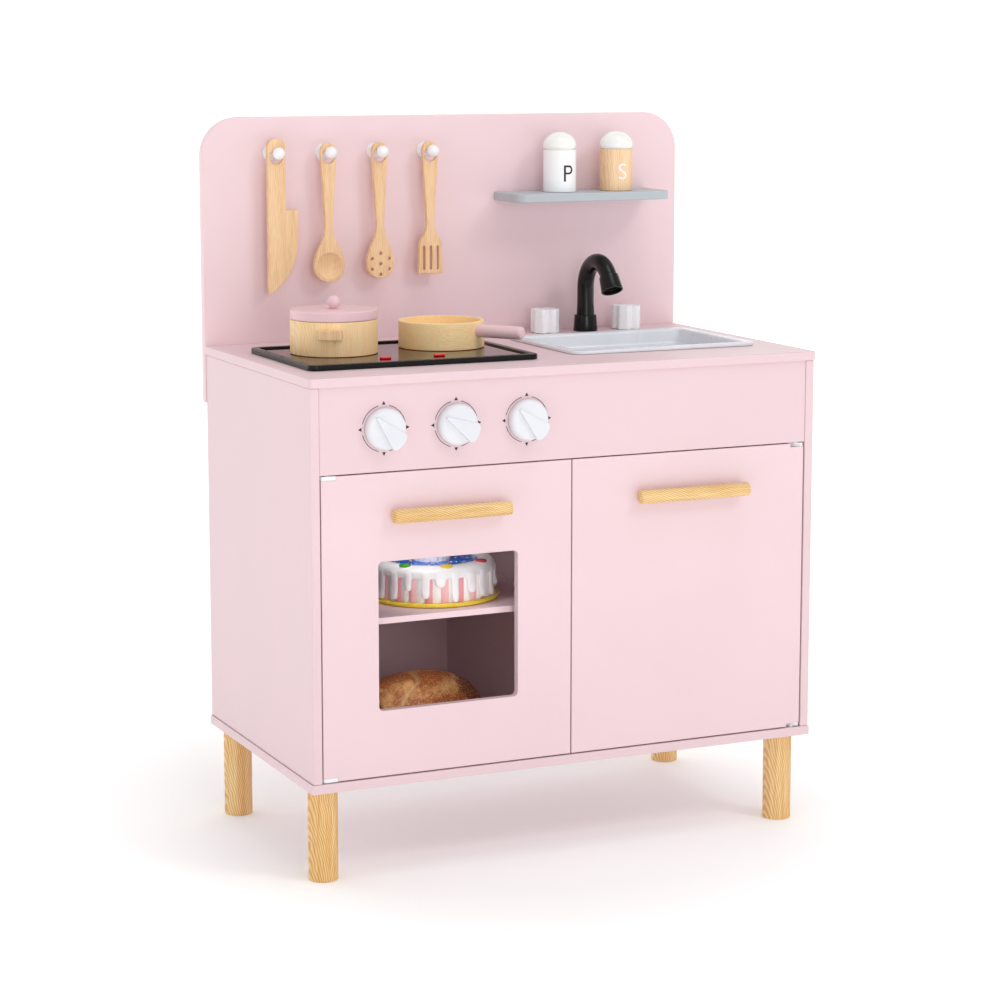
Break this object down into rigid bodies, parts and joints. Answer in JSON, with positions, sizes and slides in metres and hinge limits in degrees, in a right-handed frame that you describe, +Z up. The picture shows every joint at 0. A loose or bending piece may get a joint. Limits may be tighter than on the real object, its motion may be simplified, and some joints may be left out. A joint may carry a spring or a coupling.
{
  "type": "toy kitchen",
  "caption": "Wooden toy kitchen with windowed oven and cupboard doors, hob, sink with faucet, utensil hooks, wall shelf, pots, shakers and toy food.",
  "frame": {"origin": "bottom centre of the whole object's box, on the floor under the middle of the cabinet", "axes": "+Z up, +Y from the doors towards the wall behind, +X to the right of someone facing the doors, so the hob is at -X and the sink at +X"},
  "size_m": [0.603, 0.3592, 0.798],
  "materials": {
    "pink_board": "satin painted MDF",
    "grey_board": "satin painted MDF",
    "leg_timber": "clear satin lacquer, straight grain",
    "pale_beech": "bare sanded, fine grain",
    "white_gloss_plastic": "moulded, glossy",
    "white_matte_plastic": "moulded, fine texture",
    "zinc_plate": "zinc plated",
    "black_plastic": "moulded, semi gloss",
    "hob_black": "glossy black with red printed rings",
    "cake_icing": "painted with pink and white stripes",
    "bread_crust": "painted golden brown crust"
  },
  "bodies": {
    "cabinet": {"worktop": "pink_board", "side_panel_left": "pink_board", "side_panel_right": "pink_board", "bottom_panel": "pink_board", "cabinet_back": "pink_board", "divider_panel": "pink_board", "oven_shelf": "pink_board", "fascia_panel": "pink_board", "splashback": "pink_board", "wall_shelf": "grey_board", "leg_front_left": "leg_timber", "leg_front_right": "leg_timber", "leg_back_left": "leg_timber", "leg_back_right": "leg_timber", "hook_1": "white_gloss_plastic", "hook_2": "white_gloss_plastic", "hook_3": "white_gloss_plastic", "hook_4": "white_gloss_plastic", "oven_door_catch": "white_matte_plastic", "cupboard_door_catch": "white_matte_plastic", "hob_tray": "hob_black", "sink_basin": "white_gloss_plastic", "faucet_base": "black_plastic"},
    "oven_door": {"oven_door": "pink_board", "oven_door_handle": "leg_timber", "oven_door_handle_spacer_left": "white_matte_plastic", "oven_door_handle_spacer_right": "white_matte_plastic", "oven_door_hinge_low": "white_matte_plastic", "oven_door_hinge_high": "white_matte_plastic", "oven_door_strike": "zinc_plate"},
    "cupboard_door": {"cupboard_door": "pink_board", "cupboard_door_handle": "leg_timber", "cupboard_door_handle_spacer_left": "white_matte_plastic", "cupboard_door_handle_spacer_right": "white_matte_plastic", "cupboard_door_hinge_low": "white_matte_plastic", "cupboard_door_hinge_high": "white_matte_plastic", "cupboard_door_strike": "zinc_plate"},
    "knob_left": {"control_knob_left": "white_gloss_plastic"},
    "knob_middle": {"control_knob_middle": "white_gloss_plastic"},
    "knob_right": {"control_knob_right": "white_gloss_plastic"},
    "spout": {"faucet_spout": "black_plastic"},
    "tap_left": {"tap_left": "white_gloss_plastic"},
    "tap_right": {"tap_right": "white_gloss_plastic"},
    "pot": {"pot_body": "pale_beech", "pot_ear_front": "pale_beech", "pot_ear_back": "pale_beech"},
    "pot_lid": {"pot_lid": "pink_board", "pot_lid_knob": "pink_board"},
    "pan": {"pan_body": "pale_beech", "pan_handle": "pink_board"},
    "pepper_shaker": {"pepper_shaker_body": "white_gloss_plastic", "pepper_shaker_cap": "white_gloss_plastic"},
    "salt_shaker": {"salt_shaker_body": "pale_beech", "salt_shaker_cap": "white_gloss_plastic"},
    "knife": {"toy_knife": "pale_beech"},
    "spoon": {"toy_spoon": "pale_beech"},
    "skimmer": {"toy_skimmer": "pale_beech"},
    "turner": {"toy_turner": "pale_beech"},
    "cake": {"toy_cake": "cake_icing"},
    "bread": {"toy_bread": "bread_crust"}
  },
  "joints": [
    {"name": "oven_door_hinge", "type": "hinge", "parent": "cabinet", "child": "oven_door", "pos_m": [-0.2805, -0.15665, 0.27575], "axis": [0, 0, -1], "range_deg": [0, 105]},
    {"name": "cupboard_door_hinge", "type": "hinge", "parent": "cabinet", "child": "cupboard_door", "pos_m": [0.2805, -0.15665, 0.27575], "axis": [0, 0, 1], "range_deg": [0, 105]},
    {"name": "knob_left_turn", "type": "hinge", "parent": "cabinet", "child": "knob_left", "pos_m": [-0.218, -0.162, 0.48495], "axis": [0, -1, 0], "continuous": true},
    {"name": "knob_middle_turn", "type": "hinge", "parent": "cabinet", "child": "knob_middle", "pos_m": [-0.136, -0.162, 0.48495], "axis": [0, -1, 0], "continuous": true},
    {"name": "knob_right_turn", "type": "hinge", "parent": "cabinet", "child": "knob_right", "pos_m": [-0.054, -0.162, 0.48495], "axis": [0, -1, 0], "continuous": true},
    {"name": "spout_swivel", "type": "hinge", "parent": "cabinet", "child": "spout", "pos_m": [0.163, 0.13485, 0.5443], "axis": [0, 0, 1], "range_deg": [-70, 70]},
    {"name": "tap_left_turn", "type": "hinge", "parent": "cabinet", "child": "tap_left", "pos_m": [0.109, 0.13385, 0.5415], "axis": [0, 0, 1], "continuous": true},
    {"name": "tap_right_turn", "type": "hinge", "parent": "cabinet", "child": "tap_right", "pos_m": [0.217, 0.13385, 0.5415], "axis": [0, 0, 1], "continuous": true},
    {"name": "pot_lift", "type": "slide", "parent": "cabinet", "child": "pot", "axis": [0, 0, 1], "range_m": [0, 0.12]},
    {"name": "pot_lid_lift", "type": "slide", "parent": "pot", "child": "pot_lid", "axis": [0, 0, 1], "range_m": [0, 0.08]},
    {"name": "pan_lift", "type": "slide", "parent": "cabinet", "child": "pan", "axis": [0, 0, 1], "range_m": [0, 0.12]},
    {"name": "pepper_shaker_lift", "type": "slide", "parent": "cabinet", "child": "pepper_shaker", "axis": [0, 0, 1], "range_m": [0, 0.1]},
    {"name": "salt_shaker_lift", "type": "slide", "parent": "cabinet", "child": "salt_shaker", "axis": [0, 0, 1], "range_m": [0, 0.1]},
    {"name": "cake_lift", "type": "slide", "parent": "cabinet", "child": "cake", "axis": [0, 0, 1], "range_m": [0, 0.06]},
    {"name": "bread_lift", "type": "slide", "parent": "cabinet", "child": "bread", "axis": [0, 0, 1], "range_m": [0, 0.05]},
    {"name": "knife_swing", "type": "hinge", "parent": "cabinet", "child": "knife", "pos_m": [-0.2195, 0.1529, 0.7575], "axis": [0, 1, 0], "range_deg": [-8, 8]},
    {"name": "spoon_swing", "type": "hinge", "parent": "cabinet", "child": "spoon", "pos_m": [-0.1565, 0.1529, 0.7575], "axis": [0, 1, 0], "range_deg": [-8, 8]},
    {"name": "skimmer_swing", "type": "hinge", "parent": "cabinet", "child": "skimmer", "pos_m": [-0.0935, 0.1529, 0.7575], "axis": [0, 1, 0], "range_deg": [-8, 8]},
    {"name": "turner_swing", "type": "hinge", "parent": "cabinet", "child": "turner", "pos_m": [-0.0305, 0.1529, 0.7575], "axis": [0, 1, 0], "range_deg": [-8, 8]}
  ]
}
